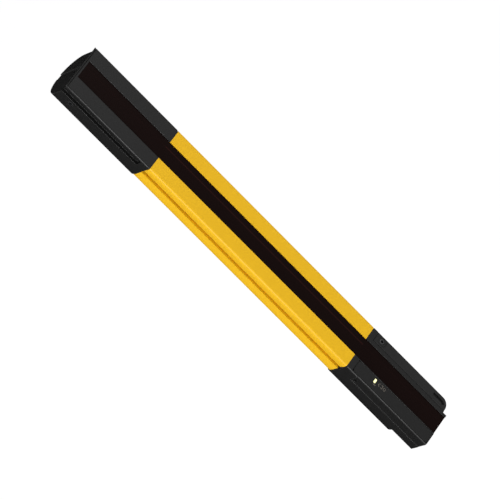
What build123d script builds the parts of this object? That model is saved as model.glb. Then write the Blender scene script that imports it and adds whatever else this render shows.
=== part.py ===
from build123d import *
import os

# Safety light curtain: one slim bar, standing along +Z with its window towards -Y.
# The origin is the middle of the bottom end. All sizes are in millimetres.
# "Depth" always means how far behind the flat front face something lies.

# Overall section and lengths
overall_length = 270.0
bottom_cap_length = 60.2
top_cap_length = 61.2
cap_width = 27.8
flat_depth = 13.25
cap_corner = 1.1
cap_wall = 1.8
cap_step = 0.45
gasket_thickness = 0.6

# Window slot, shared by the housing and both caps
front_land = 8.35
window_play = 0.1
window_overlap = 0.75
window_recess = 0.45
window_lip_round = 0.5
window_flange_thickness = 1.0
rebate_play = 0.15
lip_depth = 1.2
seal_strip_thickness = 0.3
seal_strip_margin = 0.1

# Housing extrusion
housing_corner = 1.3
housing_wall = 1.6
side_slot_wall = 3.6
shoulder_step = 1.2
guide_rib_height = 1.5
guide_play = 0.2
side_land_start = 3.0
side_land_inset = 1.0
side_slot_start = 7.3
side_slot_width = 1.8
side_slot_cut = 2.4
side_slot_neck = 1.3
side_slot_undercut = 0.85
port_back_step = 2.2
port_radius = 2.3
port_bore = 1.25
port_web = 2.4

# Caps, inside
cap_shoulder = 1.2
spigot_play = 0.15
spigot_wall = 1.2
spigot_length = 8.0
spigot_board_gap = 0.3
flange_thickness = 3.0
cap_screw_hole = 1.4
cap_screw_radius = 1.15
cap_screw_head_radius = 1.9
cap_screw_head_height = 1.6
cap_screw_grip = 11.0
driver_cross_width = 0.5

# Top cap
rim_drop = 0.6
rim_thickness = 1.2
end_drop = 1.1
end_wall = 1.6
end_chamfer = 0.5
pad_left = 3.1
pad_start_depth = 8.4
low_pad_right = 0.8
low_pad_height = 0.85
pad_side_gap = 0.4
top_window_end = 1.9
cap_slot_start = 1.25
cap_slot_width = 5.6
cap_slot_cut = 1.8
cap_slot_low = 4.5
cap_slot_high = 0.6
cap_slot_round = 1.2
side_screw_drop = 11.0
side_screw_depth = 10.5
side_screw_radius = 0.95
side_screw_play = 0.1
side_screw_head_radius = 1.7
side_screw_head_height = 0.55
side_screw_sink = 0.6
side_screw_boss = 2.4
side_screw_bite = 1.1

# Bottom cap
set_in = 0.3
set_in_depth = 7.25
collar_height = 8.0
front_band = 3.2
dimple_drop = 1.9
dimple_depth = 5.2
dimple_radius = 0.9
dimple_cut = 1.0
plug_seat_height = 15.0
plug_seat_depth = 14.0
socket_floor = 2.0
lower_core_floor = 1.8
lower_core_start = 4.3
right_end_height = 2.5
right_end_margin = 1.5
right_end_round = 4.5

# Status plate and lamp, on the left front of the bottom cap
panel_side_margin = 1.0
panel_window_margin = 0.3
panel_thickness = 0.6
panel_low = 0.6
panel_round = 1.5
panel_play = 0.1
panel_top_gap = 0.35
panel_sink = 0.05
lamp_inset = 2.2
lamp_height = 43.2
lamp_width = 2.6
lamp_tall = 1.4
lamp_round = 0.5
lamp_play = 0.05
lamp_pipe_length = 2.4
lamp_gap = 0.1
lamp_body_height = 0.8
status_board_thickness = 1.0
status_board_length = 16.0
side_board_carrier_gap = 0.3
side_board_wall_gap = 0.1
rib_length = 2.0

# Cover on the right front of the bottom cap
cover_window_margin = 2.45
cover_thickness = 1.8
cover_play = 0.25
cover_seal_thickness = 0.6
cover_chamfer = 0.35
cover_opening_margin = 1.2
cover_opening_end_margin = 2.5
cover_seal_width = 0.75
cover_screw_inset = 2.3
cover_screw_drop = 4.6
cover_screw_zone_width = 5.2
cover_screw_zone_tall = 5.4
cover_screw_zone_round = 1.3
cover_screw_zone_cut = 0.4
cover_screw_sink = 1.2
cover_screw_head_radius = 1.5
cover_screw_head_height = 0.6
cover_screw_radius = 0.8
cover_screw_play = 0.1
cover_screw_length = 6.5
cover_boss = 2.2
groove_edge = 2.5
groove_length = 10.5
groove_width = 1.6
groove_cut = 1.2
groove_end_angle = -62.0
setup_board_depth = 5.0
setup_board_thickness = 1.0
setup_board_floor_gap = 3.0
setup_board_length = 26.0
header_pitch = 2.0
header_rows = 6
header_body_width = 2.0
header_body_height = 1.6
header_pin_size = 0.5
header_pin_length = 0.9

# Optics
beam_pitch = 20.0
beam_margin = 5.5
carrier_socket_gap = 1.0
carrier_top_gap = 0.3
channel_wall = 1.6
channel_depth = 4.9
lens_margin = 1.0
chamber_play = 0.2
lens_strip_thickness = 1.4
lens_strip_play = 0.1
lens_strip_end_gap = 0.5
lens_height = 0.9
emitter_board_thickness = 1.6
emitter_board_side_gap = 0.2
emitter_board_end_gap = 0.5
diode_size = 3.2
diode_base_height = 1.0
diode_dome_radius = 1.2
diode_dome_sides = 8
diode_dome_height = 1.5

# Electronics in the bottom cap
electronics_space = 6.4
board_link_height = 1.6
board_link_half = 4.0
board_link_drop = 4.5
board_link_length = 6.0
controller_thickness = 1.2
controller_side_gap = 0.3
controller_end_gap = 0.5
chip_height = 1.3
low_chip_place = 8.0
low_chip_width = 5.0
low_chip_tall = 6.0
main_chip_place = 19.0
main_chip_width = 5.6
main_chip_tall = 8.0
small_chip_place = 30.0
small_chip_width = 3.9
small_chip_tall = 4.9
socket_half = 6.3
socket_set_back = 0.7
socket_block_height = 14.5
socket_play = 0.1
socket_side_wall = 1.1
socket_wall = 1.0
socket_mouth_height = 9.2
socket_key_width = 2.0
socket_key_cut = 0.6
contact_pitch = 2.5
contact_columns = 4
contact_size = 0.64
contact_length = 4.6

# Heights and places that follow from the sizes above
cap_radius = cap_width / 2
front_y = -(flat_depth + cap_radius) / 2
back_centre_y = front_y + flat_depth
housing_radius = cap_radius - cap_step
housing_inner = housing_radius - housing_wall
housing_box = housing_inner - side_slot_wall
cap_inner = cap_radius - cap_wall
cap_box = cap_inner - cap_shoulder
shoulder_depth = flat_depth - shoulder_step
port_offset = housing_inner - port_radius
port_depth = flat_depth + port_back_step
seam_low = bottom_cap_length
seam_high = overall_length - top_cap_length
housing_low = seam_low + gasket_thickness
housing_high = seam_high - gasket_thickness
window_opening = cap_radius - front_land
window_flange = window_opening + window_overlap
flange_front = lip_depth + seal_strip_thickness
optics_front = flange_front + window_flange_thickness
rebate_half = window_flange + rebate_play
end_face = overall_length - end_drop
rim_height = overall_length - rim_drop
cap_ceiling = end_face - end_wall
top_window_high = rim_height - top_window_end
set_in_top = seam_low - collar_height
dimple_height = set_in_top - dimple_drop
front_parts_high = seam_low - front_band
cavity_floor = plug_seat_height + socket_floor
socket_high = plug_seat_height + socket_block_height
carrier_half = port_offset - port_radius - guide_play
carrier_back = flat_depth + cap_inner - electronics_space
carrier_low = socket_high + carrier_socket_gap
carrier_high = cap_ceiling - carrier_top_gap
side_screw_height = overall_length - side_screw_drop
side_screw_tip = carrier_half - side_screw_bite
channel_half = carrier_half - channel_wall
channel_floor = optics_front + channel_depth
lens_radius = min(channel_half, beam_pitch / 2) - lens_margin
chamber_half = lens_radius + chamber_play
emitter_board_half = carrier_half - emitter_board_side_gap
emitter_board_back = carrier_back + emitter_board_thickness
spigot_start_depth = emitter_board_back + spigot_board_gap
controller_front = emitter_board_back + board_link_height
controller_back = controller_front + controller_thickness
controller_high = seam_low - flange_thickness - controller_end_gap
controller_half = (cap_inner ** 2 - (controller_back - flat_depth) ** 2) ** 0.5 - controller_side_gap
board_link_high = controller_high - board_link_drop
board_link_low = board_link_high - board_link_length
socket_mouth_half = socket_half - socket_side_wall
socket_front_depth = plug_seat_depth + socket_set_back
socket_mouth_front = socket_front_depth + socket_wall
socket_mouth_back = controller_front - socket_wall
contact_row_pitch = (socket_mouth_back - socket_mouth_front) / 2
panel_left = cap_radius - panel_side_margin
panel_right = window_opening + panel_window_margin
lamp_x = -(panel_right + lamp_inset)
status_board_front = lamp_pipe_length + lamp_gap + lamp_body_height
side_board_inner = carrier_half + side_board_carrier_gap
side_board_outer = cap_box - side_board_wall_gap
setup_board_low = cavity_floor + setup_board_floor_gap
setup_board_high = setup_board_low + setup_board_length
right_end_left = window_opening + right_end_margin
groove_top = right_end_height + groove_length
cover_left = window_opening + cover_window_margin
cover_right = cap_radius - set_in
cover_recess = cover_thickness + cover_seal_thickness
cover_opening_left = side_board_inner + cover_opening_margin
cover_opening_right = side_board_outer - side_board_wall_gap
cover_opening_low = setup_board_low + cover_opening_end_margin
cover_opening_high = setup_board_high - cover_opening_end_margin
cover_screw_x = cover_right - cover_screw_inset
cover_screw_height = front_parts_high - cover_screw_drop
beam_gaps = int((carrier_high - carrier_low - 2 * beam_margin) / beam_pitch)
first_beam = (carrier_low + carrier_high - beam_gaps * beam_pitch) / 2
beam_heights = [first_beam + beam_pitch * i for i in range(beam_gaps + 1)]


def behind(depth):
    """Y of a place that lies this far behind the front face."""
    return front_y + depth


def front_plane(depth):
    """Plane parallel to the front face and this far behind it; its X and Y are the bar's X and Z."""
    return Plane.XZ.offset(-behind(depth))


def band(x_low, x_high, y_low, y_high, mode=Mode.ADD):
    """Rectangle in the sketch being drawn, given by its edges."""
    with Locations(((x_low + x_high) / 2, (y_low + y_high) / 2)):
        Rectangle(x_high - x_low, y_high - y_low, mode=mode)


def both_sides(x_inner, x_outer, y_low, y_high, mode=Mode.SUBTRACT):
    """The same rectangle on the left and on the right of the bar's middle plane."""
    band(-x_outer, -x_inner, y_low, y_high, mode)
    band(x_inner, x_outer, y_low, y_high, mode)


def d_face(radius, front):
    """D-shaped face: flat front, flat sides and a half-round back."""
    with BuildSketch() as face:
        with Locations((0, back_centre_y)):
            Circle(radius)
        band(-radius, radius, front, back_centre_y)
        band(-radius, radius, front - 2 * radius, front, Mode.SUBTRACT)
    return face.sketch


def casing_face(radius, corner):
    """Outline of a casing, with its two front corners rounded."""
    with BuildSketch() as face:
        add(d_face(radius, front_y))
        fillet(face.vertices().group_by(Axis.Y)[0], corner)
    return face.sketch


def window_slot():
    """Cuts the window's opening and rebate out of the sketch being drawn, and rounds the lips."""
    band(-window_opening, window_opening, front_y, behind(lip_depth), Mode.SUBTRACT)
    band(-rebate_half, rebate_half, behind(lip_depth), behind(optics_front), Mode.SUBTRACT)


def lip_vertices(sketch):
    """The two corners where the window's opening meets the front face."""
    return [v for v in sketch.vertices().group_by(Axis.Y)[0] if abs(abs(v.X) - window_opening) < window_play]


def cap_cavity():
    """Hollow of a cap: a narrower box at the front and a half-round space at the back."""
    with BuildSketch() as face:
        add(d_face(cap_inner, behind(shoulder_depth)))
        band(-cap_box, cap_box, behind(optics_front), back_centre_y)
    return face.sketch


def housing_outline():
    """Outline of the housing: as wide as the caps in front, sloping in to the side slots, narrower behind."""
    with BuildSketch() as face:
        with BuildLine():
            flank = Polyline((0, front_y), (cap_radius, front_y), (cap_radius, behind(side_land_start)),
                             (cap_radius - side_land_inset, behind(side_slot_start)),
                             (housing_radius, behind(side_slot_start + side_slot_width)),
                             (housing_radius, back_centre_y))
            back = CenterArc((0, back_centre_y), housing_radius, 0, 90)
            Line(back @ 1, flank @ 0)
        make_face()
        mirror(about=Plane.YZ)
        outer_corners = face.vertices().group_by(Axis.Y)[0].filter_by(lambda v: abs(v.X) > housing_radius)
        fillet(outer_corners, housing_corner)
    return face.sketch


def housing_profile():
    """Section of the extruded housing, with side slots, guide ribs and screw ports."""
    with BuildSketch() as face:
        add(housing_outline())
        window_slot()
        fillet(lip_vertices(face.sketch), window_lip_round)
        rib_half = carrier_half + guide_play
        band(-rib_half, rib_half, behind(optics_front), back_centre_y, Mode.SUBTRACT)
        band(-housing_box, housing_box, behind(optics_front + guide_rib_height), back_centre_y, Mode.SUBTRACT)
        add(d_face(housing_inner, behind(shoulder_depth)), mode=Mode.SUBTRACT)
        slot_floor = housing_radius - side_slot_cut
        slot_end = side_slot_start + side_slot_width
        both_sides(slot_floor, cap_radius, behind(side_slot_start), behind(slot_end))
        both_sides(slot_floor, housing_radius - side_slot_neck,
                   behind(side_slot_start - side_slot_undercut), behind(slot_end + side_slot_undercut))
        with Locations((-port_offset, behind(port_depth)), (port_offset, behind(port_depth))):
            Circle(port_radius)
        both_sides(port_offset, housing_inner + housing_wall / 2,
                   behind(port_depth - port_web / 2), behind(port_depth + port_web / 2), Mode.ADD)
        with Locations((-port_offset, behind(port_depth)), (port_offset, behind(port_depth))):
            Circle(port_bore, mode=Mode.SUBTRACT)
    return face.sketch


def window_profile():
    """Section of the window: a raised front strip and a wider flange behind it."""
    with BuildSketch() as face:
        raised_half = window_opening - window_play
        band(-raised_half, raised_half, behind(window_recess), behind(flange_front))
        band(-window_flange, window_flange, behind(flange_front), behind(optics_front))
    return face.sketch


def gasket_profile():
    """Outline of the housing with one plain opening, which leaves the boards and the screws free."""
    with BuildSketch() as face:
        add(casing_face(housing_radius, housing_corner))
        window_slot()
        band(-housing_box, housing_box, behind(optics_front), back_centre_y, Mode.SUBTRACT)
        add(d_face(housing_inner, behind(shoulder_depth)), mode=Mode.SUBTRACT)
        both_sides(housing_radius - side_slot_cut, housing_radius, behind(side_slot_start),
                   behind(side_slot_start + side_slot_width))
    return face.sketch


def seal_strip_profile():
    """Section of the two sealing strips between the window's flange and the lips."""
    with BuildSketch() as face:
        both_sides(window_opening + seal_strip_margin, window_flange, behind(lip_depth),
                   behind(flange_front), Mode.ADD)
    return face.sketch


def at_height(sketch, height):
    """The same sketch, moved up to a height on the bar."""
    return Plane.XY.offset(height) * sketch


def spigot_profile(outer_radius):
    """Curved tongue of a cap, which slides into the back of the housing."""
    with BuildSketch() as face:
        with Locations((0, back_centre_y)):
            Circle(outer_radius)
            Circle(housing_inner - spigot_play - spigot_wall, mode=Mode.SUBTRACT)
        band(-cap_width, cap_width, -cap_width, behind(spigot_start_depth), Mode.SUBTRACT)
    return face.sketch


def screw_boss_profile():
    """Section of the two bosses through which a cap is screwed to the housing's ports."""
    with BuildSketch() as face:
        with Locations((-port_offset, behind(port_depth)), (port_offset, behind(port_depth))):
            Circle(port_radius)
        both_sides(port_offset, cap_inner + cap_wall / 2, behind(port_depth - port_web / 2),
                   behind(port_depth + port_web / 2), Mode.ADD)
        with Locations((-port_offset, behind(port_depth)), (port_offset, behind(port_depth))):
            Circle(cap_screw_hole, mode=Mode.SUBTRACT)
    return face.sketch


# Housing and gaskets

with BuildPart() as housing_extrusion:
    extrude(at_height(housing_profile(), housing_low), amount=housing_high - housing_low)

with BuildPart() as bottom_cap_gasket:
    extrude(at_height(gasket_profile(), seam_low), amount=gasket_thickness)

with BuildPart() as top_cap_gasket:
    extrude(at_height(gasket_profile(), housing_high), amount=gasket_thickness)

# Windows and their sealing strips

with BuildPart() as housing_window:
    extrude(at_height(window_profile(), seam_low), amount=seam_high - seam_low)

with BuildPart() as bottom_cap_window:
    extrude(window_profile(), amount=seam_low)

with BuildPart() as top_cap_window:
    extrude(at_height(window_profile(), seam_high), amount=top_window_high - seam_high)

with BuildPart() as housing_window_seals:
    extrude(at_height(seal_strip_profile(), seam_low), amount=seam_high - seam_low)

with BuildPart() as bottom_window_seals:
    extrude(seal_strip_profile(), amount=seam_low)

with BuildPart() as top_window_seals:
    extrude(at_height(seal_strip_profile(), seam_high), amount=top_window_high - seam_high)

# Top cap

with BuildPart() as top_cap:
    # Shell with the window's slot, up to the top of the window
    with BuildSketch(Plane.XY.offset(seam_high)) as top_cap_section:
        add(casing_face(cap_radius, cap_corner))
        window_slot()
        fillet(lip_vertices(top_cap_section.sketch), window_lip_round)
    extrude(amount=top_window_high - seam_high)
    # Closed head above the window, with the thin front rim standing a little higher
    extrude(at_height(casing_face(cap_radius, cap_corner), top_window_high), amount=end_face - top_window_high)
    back_rim = top_cap.faces().sort_by(Axis.Z)[-1].edges().sort_by(Axis.Y)[-1]
    chamfer(back_rim, end_chamfer)
    with BuildSketch(Plane.XY.offset(end_face)):
        add(casing_face(cap_radius, cap_corner))
        band(-cap_width, cap_width, behind(rim_thickness), cap_width, Mode.SUBTRACT)
    extrude(amount=rim_height - end_face)
    # Two raised pads on the back of the end, the left one a little lower
    with BuildSketch(Plane.XY.offset(end_face)):
        add(d_face(cap_radius - pad_side_gap, front_y))
        band(-cap_width, pad_left, -cap_width, cap_width, Mode.SUBTRACT)
        band(-cap_width, cap_width, -cap_width, behind(pad_start_depth), Mode.SUBTRACT)
    extrude(amount=end_drop)
    with BuildSketch(Plane.XY.offset(end_face)):
        add(d_face(cap_radius - pad_side_gap, front_y))
        band(-low_pad_right, cap_width, -cap_width, cap_width, Mode.SUBTRACT)
        band(-cap_width, cap_width, -cap_width, behind(pad_start_depth), Mode.SUBTRACT)
    extrude(amount=low_pad_height)
    # Hollow
    extrude(at_height(cap_cavity(), seam_high), amount=cap_ceiling - seam_high, mode=Mode.SUBTRACT)
    # Long bracket slot on each side
    slot_low = seam_high + cap_slot_low
    slot_high = end_face - cap_slot_high
    for side in (-1, 1):
        with BuildSketch(Plane.YZ.offset(side * (cap_radius - cap_slot_cut))):
            with Locations((behind(cap_slot_start + cap_slot_width / 2), (slot_low + slot_high) / 2)):
                RectangleRounded(cap_slot_width, slot_high - slot_low, cap_slot_round)
        extrude(amount=side * cap_slot_cut, mode=Mode.SUBTRACT)
        # Boss, hole and sunk seat of the side screw
        with BuildSketch(Plane.YZ.offset(side * (carrier_half + guide_play))):
            with Locations((behind(side_screw_depth), side_screw_height)):
                Circle(side_screw_boss)
        extrude(amount=side * (cap_radius - cap_wall / 2 - carrier_half - guide_play))
        with BuildSketch(Plane.YZ.offset(side * carrier_half)):
            with Locations((behind(side_screw_depth), side_screw_height)):
                Circle(side_screw_radius + side_screw_play)
        extrude(amount=side * (cap_radius - carrier_half), mode=Mode.SUBTRACT)
        with BuildSketch(Plane.YZ.offset(side * (cap_radius - side_screw_sink))):
            with Locations((behind(side_screw_depth), side_screw_height)):
                Circle(side_screw_head_radius + side_screw_play)
        extrude(amount=side * side_screw_sink, mode=Mode.SUBTRACT)
    # Flange bosses and the tongue that enters the housing
    extrude(at_height(screw_boss_profile(), seam_high), amount=flange_thickness)
    extrude(at_height(spigot_profile(cap_inner + cap_wall / 2), seam_high), amount=flange_thickness)
    extrude(at_height(spigot_profile(housing_inner - spigot_play), seam_high), amount=-spigot_length)

# Bottom cap

with BuildPart() as bottom_cap:
    # Shell: the front part of both sides is set in below the collar
    with BuildSketch(Plane.XY) as set_in_section:
        add(d_face(cap_radius, front_y))
        both_sides(cap_radius - set_in, cap_radius, front_y, behind(set_in_depth))
        fillet(set_in_section.vertices().group_by(Axis.Y)[0], cap_corner)
        window_slot()
        fillet(lip_vertices(set_in_section.sketch), window_lip_round)
    extrude(amount=set_in_top)
    with BuildSketch(Plane.XY.offset(set_in_top)) as collar_section:
        add(casing_face(cap_radius, cap_corner))
        window_slot()
        fillet(lip_vertices(collar_section.sketch), window_lip_round)
    extrude(amount=seam_low - set_in_top)
    # Hollow above the socket's floor, and a core below it behind the window
    extrude(at_height(cap_cavity(), cavity_floor), amount=seam_low - cavity_floor, mode=Mode.SUBTRACT)
    with BuildSketch(Plane.XY.offset(lower_core_floor)):
        band(-cap_box, right_end_left - cap_wall, behind(lower_core_start), behind(plug_seat_depth - cap_wall))
    extrude(amount=cavity_floor - lower_core_floor, mode=Mode.SUBTRACT)
    # Back corner cut away for the cable's plug, and the hole for the socket block
    with BuildSketch(Plane.XY):
        band(-cap_width, cap_width, behind(plug_seat_depth), cap_width)
    extrude(amount=plug_seat_height, mode=Mode.SUBTRACT)
    with BuildSketch(Plane.XY.offset(plug_seat_height)):
        socket_hole_half = socket_half + socket_play
        band(-socket_hole_half, socket_hole_half, behind(socket_front_depth - socket_play),
             behind(controller_front + socket_play))
    extrude(amount=socket_floor, mode=Mode.SUBTRACT)
    # Right end: shorter than the window, with a large round corner
    with BuildSketch(front_plane(0)) as right_end:
        band(right_end_left, cap_width, 0, right_end_height)
        with Locations((cover_right - right_end_round / 2, right_end_height + right_end_round / 2)):
            Rectangle(right_end_round, right_end_round)
        with Locations((cover_right - right_end_round, right_end_height + right_end_round)):
            Circle(right_end_round, mode=Mode.SUBTRACT)
        band(cover_right, cap_width, 0, right_end_height + right_end_round)
    extrude(amount=-plug_seat_depth, mode=Mode.SUBTRACT)
    # Shallow seat of the status plate, and the lamp's hole
    with BuildSketch(front_plane(0)):
        band(-panel_left, -panel_right, panel_low, front_parts_high)
    extrude(amount=-panel_thickness, mode=Mode.SUBTRACT)
    with BuildSketch(front_plane(0)):
        with Locations((lamp_x, lamp_height)):
            RectangleRounded(lamp_width + 2 * lamp_play, lamp_tall + 2 * lamp_play, lamp_round)
    extrude(amount=-optics_front, mode=Mode.SUBTRACT)
    # Seat of the cover with the opening behind it
    with BuildSketch(front_plane(0)):
        band(cover_left - cover_play, cap_width, 0, front_parts_high + cover_play)
    extrude(amount=-cover_recess, mode=Mode.SUBTRACT)
    with BuildSketch(front_plane(0)):
        band(cover_opening_left, cover_opening_right, cover_opening_low, cover_opening_high)
    extrude(amount=-lower_core_start, mode=Mode.SUBTRACT)
    # Boss of the cover's screw
    with BuildSketch(front_plane(cover_recess)):
        with Locations((cover_screw_x, cover_screw_height)):
            Circle(cover_boss)
    extrude(amount=-cover_screw_length)
    with BuildSketch(front_plane(0)):
        with Locations((cover_screw_x, cover_screw_height)):
            Circle(cover_screw_radius + cover_screw_play)
    extrude(amount=-(cover_screw_sink + cover_screw_length), mode=Mode.SUBTRACT)
    # Ribs that carry the two small side boards
    status_low = lamp_height - status_board_length / 2
    with BuildSketch(front_plane(optics_front)):
        band(-side_board_outer, -side_board_inner, status_low, status_low + rib_length)
        band(-side_board_outer, -side_board_inner, status_low + status_board_length - rib_length,
             status_low + status_board_length)
    extrude(amount=-(status_board_front - optics_front))
    with BuildSketch(front_plane(optics_front)):
        band(side_board_inner, side_board_outer, setup_board_high - rib_length, setup_board_high)
        band(side_board_inner, side_board_outer, setup_board_low, setup_board_low + rib_length)
    extrude(amount=-(setup_board_depth - optics_front))
    # Small dimple near the top of the set-in stretch, on both sides
    for side in (-1, 1):
        with BuildSketch(Plane.YZ.offset(side * (cap_radius - set_in - dimple_cut))):
            with Locations((behind(dimple_depth), dimple_height)):
                Circle(dimple_radius)
        extrude(amount=side * (dimple_cut + set_in), mode=Mode.SUBTRACT)
    # Flange bosses and the tongue that enters the housing
    extrude(at_height(screw_boss_profile(), seam_low), amount=-flange_thickness)
    extrude(at_height(spigot_profile(cap_inner + cap_wall / 2), seam_low), amount=-flange_thickness)
    extrude(at_height(spigot_profile(housing_inner - spigot_play), seam_low), amount=spigot_length)

# Screws that hold the caps to the housing's ports


def cap_screws(seat, direction):
    """Two screws with their heads on a cap's flange; direction is the way their tips point."""
    with BuildPart() as pair:
        with BuildSketch(Plane.XY.offset(seat)):
            with Locations((-port_offset, behind(port_depth)), (port_offset, behind(port_depth))):
                Circle(cap_screw_head_radius)
        extrude(amount=-direction * cap_screw_head_height)
        with BuildSketch(Plane.XY.offset(seat)):
            with Locations((-port_offset, behind(port_depth)), (port_offset, behind(port_depth))):
                Circle(cap_screw_radius)
        extrude(amount=direction * cap_screw_grip)
    return pair.part


with BuildPart() as bottom_cap_screws:
    add(cap_screws(seam_low - flange_thickness, 1))

with BuildPart() as top_cap_screws:
    add(cap_screws(seam_high + flange_thickness, -1))

with BuildPart() as top_cap_side_screws:
    for side in (-1, 1):
        with BuildSketch(Plane.YZ.offset(side * (cap_radius - side_screw_sink))):
            with Locations((behind(side_screw_depth), side_screw_height)):
                Circle(side_screw_head_radius)
        extrude(amount=side * side_screw_head_height)
        with BuildSketch(Plane.YZ.offset(side * side_screw_tip)):
            with Locations((behind(side_screw_depth), side_screw_height)):
                Circle(side_screw_radius)
        extrude(amount=side * (cap_radius - side_screw_sink - side_screw_tip))
        with BuildSketch(Plane.YZ.offset(side * (cap_radius - side_screw_sink + side_screw_head_height))):
            with Locations((behind(side_screw_depth), side_screw_height)):
                Rectangle(side_screw_head_radius, driver_cross_width)
                Rectangle(driver_cross_width, side_screw_head_radius)
        extrude(amount=-side * side_screw_head_height / 2, mode=Mode.SUBTRACT)

# Status plate, its light pipe, lamp and board

with BuildPart() as status_panel:
    with BuildSketch(front_plane(panel_sink)) as panel_outline:
        band(-panel_left + panel_play, -panel_right - panel_play, panel_low + panel_play,
             front_parts_high - panel_top_gap)
        fillet(panel_outline.vertices(), panel_round)
        with Locations((lamp_x, lamp_height)):
            RectangleRounded(lamp_width + 2 * lamp_play, lamp_tall + 2 * lamp_play, lamp_round, mode=Mode.SUBTRACT)
    extrude(amount=-(panel_thickness - panel_sink))

with BuildPart() as status_light_pipe:
    with BuildSketch(front_plane(0)):
        with Locations((lamp_x, lamp_height)):
            RectangleRounded(lamp_width, lamp_tall, lamp_round)
    extrude(amount=-lamp_pipe_length)

with BuildPart() as status_lamp:
    with BuildSketch(front_plane(lamp_pipe_length + lamp_gap)):
        with Locations(((-side_board_outer - side_board_inner) / 2, lamp_height)):
            Rectangle(lamp_width, lamp_tall)
    extrude(amount=-lamp_body_height)

with BuildPart() as status_board:
    with BuildSketch(front_plane(status_board_front)):
        band(-side_board_outer, -side_board_inner, lamp_height - status_board_length / 2,
             lamp_height + status_board_length / 2)
    extrude(amount=-status_board_thickness)

# Cover, its seal and its screw

with BuildPart() as access_cover:
    with BuildSketch(front_plane(0)) as cover_outline:
        band(cover_left, cover_right, right_end_height, front_parts_high)
        lower_right = cover_outline.vertices().group_by(Axis.Y)[0].sort_by(Axis.X)[-1]
        fillet(lower_right, right_end_round)
    extrude(amount=-cover_thickness)
    chamfer(access_cover.faces().sort_by(Axis.Y)[0].edges(), cover_chamfer)
    # Finger groove that follows the outer edge round the corner
    with BuildSketch(front_plane(0)):
        corner_x = cover_right - right_end_round
        corner_z = right_end_height + right_end_round
        with BuildLine():
            Line((cover_right - groove_edge, groove_top), (cover_right - groove_edge, corner_z))
            CenterArc((corner_x, corner_z), right_end_round - groove_edge, 0, groove_end_angle)
        trace(line_width=groove_width)
    extrude(amount=-groove_cut, mode=Mode.SUBTRACT)
    # Shallow zone round the screw, its sunk seat and its hole
    with BuildSketch(front_plane(0)):
        with Locations((cover_screw_x, cover_screw_height)):
            RectangleRounded(cover_screw_zone_width, cover_screw_zone_tall, cover_screw_zone_round)
    extrude(amount=-cover_screw_zone_cut, mode=Mode.SUBTRACT)
    with BuildSketch(front_plane(0)):
        with Locations((cover_screw_x, cover_screw_height)):
            Circle(cover_screw_head_radius + cover_screw_play)
    extrude(amount=-cover_screw_sink, mode=Mode.SUBTRACT)
    with BuildSketch(front_plane(0)):
        with Locations((cover_screw_x, cover_screw_height)):
            Circle(cover_screw_radius + cover_screw_play)
    extrude(amount=-cover_thickness, mode=Mode.SUBTRACT)

with BuildPart() as access_cover_seal:
    with BuildSketch(front_plane(cover_thickness)):
        band(cover_opening_left - cover_seal_width, cover_opening_right + cover_seal_width,
             cover_opening_low - cover_seal_width, cover_opening_high + cover_seal_width)
        band(cover_opening_left, cover_opening_right, cover_opening_low, cover_opening_high, Mode.SUBTRACT)
    extrude(amount=-cover_seal_thickness)

with BuildPart() as access_cover_screw:
    with BuildSketch(front_plane(cover_screw_sink)):
        with Locations((cover_screw_x, cover_screw_height)):
            Circle(cover_screw_head_radius)
    extrude(amount=cover_screw_head_height)
    with BuildSketch(front_plane(cover_screw_sink)):
        with Locations((cover_screw_x, cover_screw_height)):
            Circle(cover_screw_radius)
    extrude(amount=-cover_screw_length)
    with BuildSketch(front_plane(cover_screw_sink - cover_screw_head_height)):
        with Locations((cover_screw_x, cover_screw_height)):
            Rectangle(cover_screw_head_radius, driver_cross_width)
            Rectangle(driver_cross_width, cover_screw_head_radius)
    extrude(amount=-cover_screw_head_height / 2, mode=Mode.SUBTRACT)

# Set-up board and pin header behind the cover

with BuildPart() as setup_board:
    with BuildSketch(front_plane(setup_board_depth)):
        band(side_board_inner, side_board_outer, setup_board_low, setup_board_high)
    extrude(amount=-setup_board_thickness)

with BuildPart() as setup_header:
    header_x = (cover_opening_left + cover_opening_right) / 2
    header_z = (setup_board_low + setup_board_high) / 2
    with BuildSketch(front_plane(setup_board_depth)):
        with Locations((header_x, header_z)):
            Rectangle(header_body_width, header_pitch * header_rows)
    extrude(amount=header_body_height)
    with BuildSketch(front_plane(setup_board_depth - header_body_height)):
        with Locations((header_x, header_z)):
            with GridLocations(header_pitch, header_pitch, 1, header_rows):
                Rectangle(header_pin_size, header_pin_size)
    extrude(amount=header_pin_length)

# Optics: carrier, lens strip, board and diodes

with BuildPart() as optics_carrier:
    with BuildSketch(Plane.XY.offset(carrier_low)):
        band(-carrier_half, carrier_half, behind(optics_front), behind(carrier_back))
        band(-channel_half, channel_half, behind(optics_front), behind(channel_floor), Mode.SUBTRACT)
    extrude(amount=carrier_high - carrier_low)
    with BuildSketch(front_plane(channel_floor)):
        with Locations(*[(0, height) for height in beam_heights]):
            Rectangle(2 * chamber_half, 2 * chamber_half)
    extrude(amount=-(carrier_back - channel_floor), mode=Mode.SUBTRACT)
    # Blind holes for the tips of the side screws
    for side in (-1, 1):
        with BuildSketch(Plane.YZ.offset(side * carrier_half)):
            with Locations((behind(side_screw_depth), side_screw_height)):
                Circle(side_screw_radius + side_screw_play)
        extrude(amount=-side * (carrier_half - side_screw_tip + side_screw_play), mode=Mode.SUBTRACT)

with BuildPart() as lens_dome:
    sphere_radius = (lens_radius ** 2 + lens_height ** 2) / (2 * lens_height)
    with Locations((0, sphere_radius - lens_height, 0)):
        Sphere(sphere_radius)
    split(bisect_by=Plane.XZ, keep=Keep.TOP)

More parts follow.
